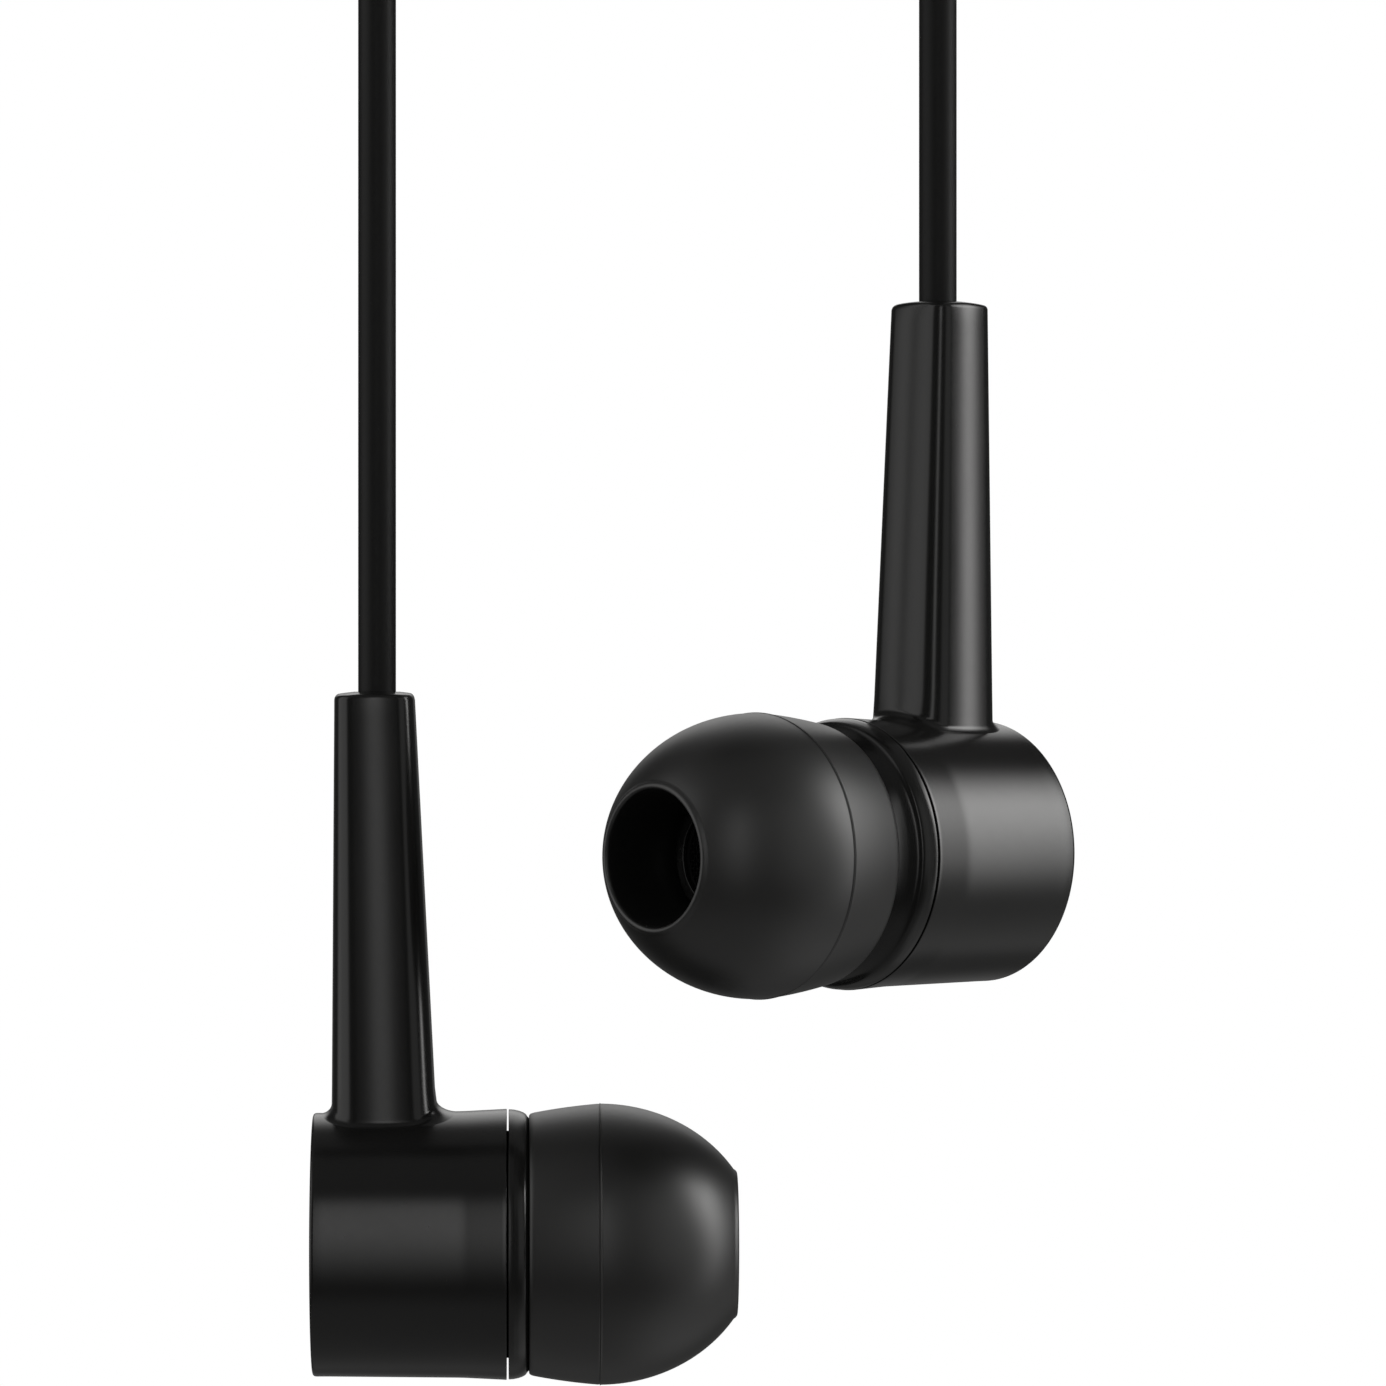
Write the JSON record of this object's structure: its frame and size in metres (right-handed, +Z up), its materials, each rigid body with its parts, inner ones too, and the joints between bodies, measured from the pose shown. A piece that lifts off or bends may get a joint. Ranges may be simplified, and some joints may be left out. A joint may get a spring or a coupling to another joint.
{
  "type": "wired earphones",
  "caption": "In-ear wired earphones: stemmed buds with soft ear tips on branch cables, splitter, cable wound in a hank, straight jack plug.",
  "frame": {"origin": "bottom centre of the whole object's box, under the hanging buds", "axes": "+Z up, along the hanging cables and the plug; -Y is the side the reference view looks from; the left bud in that view is on -X"},
  "size_m": [0.0546, 0.0208, 0.1445],
  "materials": {
    "shell": "moulded, satin to semi-gloss",
    "silicone": "moulded silicone, matt",
    "jacket": "extruded soft jacket, matt",
    "handle": "moulded, satin",
    "plating": "polished nickel plating",
    "ring_plastic": "moulded",
    "steel": "stamped",
    "magnet": "nickel-plated magnet",
    "copper": "enamelled copper wire",
    "film": "thin polymer film",
    "frame_plastic": "moulded",
    "board": "circuit board",
    "felt": "felt",
    "foam": "open foam",
    "mesh": "woven wire mesh",
    "rubber": "moulded rubber",
    "wire_red": "enamel",
    "wire_green": "enamel"
  },
  "bodies": {
    "plug": {"plug_tip_contact": "plating", "plug_insulator_tip": "ring_plastic", "plug_ring_contact": "plating", "plug_insulator_ring": "ring_plastic", "plug_sleeve_contact": "plating", "plug_inner_mould": "frame_plastic", "plug_handle": "handle", "plug_strain_relief": "rubber", "plug_cable_tail": "jacket"},
    "cable_hank": {"main_cable": "jacket", "splitter_barrel": "handle", "splitter_collar": "frame_plastic", "left_cable_coil": "jacket", "right_cable_coil": "jacket"},
    "left_cable": {"left_cable_drop": "jacket"},
    "left_bud": {"left_rear_housing": "shell", "left_front_housing": "shell", "left_nozzle_mesh": "mesh", "left_nozzle_damper": "foam", "left_driver_basket": "frame_plastic", "left_driver_yoke": "steel", "left_driver_magnet": "magnet", "left_driver_top_plate": "steel", "left_voice_coil": "copper", "left_diaphragm": "film", "left_driver_grille": "steel", "left_driver_gasket": "foam", "left_terminal_board": "board", "left_rear_damping_felt": "felt", "left_cable_tail": "jacket", "left_cable_stopper": "rubber", "left_wire_hot": "wire_red", "left_wire_ground": "wire_green"},
    "left_tip": {"left_ear_tip": "silicone"},
    "right_cable": {"right_cable_drop": "jacket"},
    "right_bud": {"right_rear_housing": "shell", "right_front_housing": "shell", "right_nozzle_mesh": "mesh", "right_nozzle_damper": "foam", "right_driver_basket": "frame_plastic", "right_driver_yoke": "steel", "right_driver_magnet": "magnet", "right_driver_top_plate": "steel", "right_voice_coil": "copper", "right_diaphragm": "film", "right_driver_grille": "steel", "right_driver_gasket": "foam", "right_terminal_board": "board", "right_rear_damping_felt": "felt", "right_cable_tail": "jacket", "right_cable_stopper": "rubber", "right_wire_hot": "wire_red", "right_wire_ground": "wire_green"},
    "right_tip": {"right_ear_tip": "silicone"}
  },
  "joints": [
    {"name": "plug_cable_flex", "type": "hinge", "parent": "plug", "child": "cable_hank", "pos_m": [-0.02428, 0.0014, 0.1046], "axis": [1, 0, 0], "range_deg": [-45, 45]},
    {"name": "left_cable_twist", "type": "hinge", "parent": "cable_hank", "child": "left_cable", "pos_m": [-0.01248, 0.0014, 0.0617], "axis": [0, 0, 1], "range_deg": [-90, 90]},
    {"name": "left_bud_flex", "type": "hinge", "parent": "left_cable", "child": "left_bud", "pos_m": [-0.01248, 0.0014, 0.02963], "axis": [1, 0, 0], "range_deg": [-50, 50]},
    {"name": "left_tip_pull", "type": "slide", "parent": "left_bud", "child": "left_tip", "axis": [0.9997, 0.0251, 0], "range_m": [0, 0.008]},
    {"name": "right_cable_twist", "type": "hinge", "parent": "cable_hank", "child": "right_cable", "pos_m": [0.01083, 0.00281, 0.05915], "axis": [0, 0, 1], "range_deg": [-90, 90]},
    {"name": "right_bud_flex", "type": "hinge", "parent": "right_cable", "child": "right_bud", "pos_m": [0.01083, 0.00281, 0.04588], "axis": [-1, 0, 0], "range_deg": [-50, 50]},
    {"name": "right_tip_pull", "type": "slide", "parent": "right_bud", "child": "right_tip", "axis": [-0.7376, -0.6752, 0], "range_m": [-0.0011, 0.007]}
  ]
}
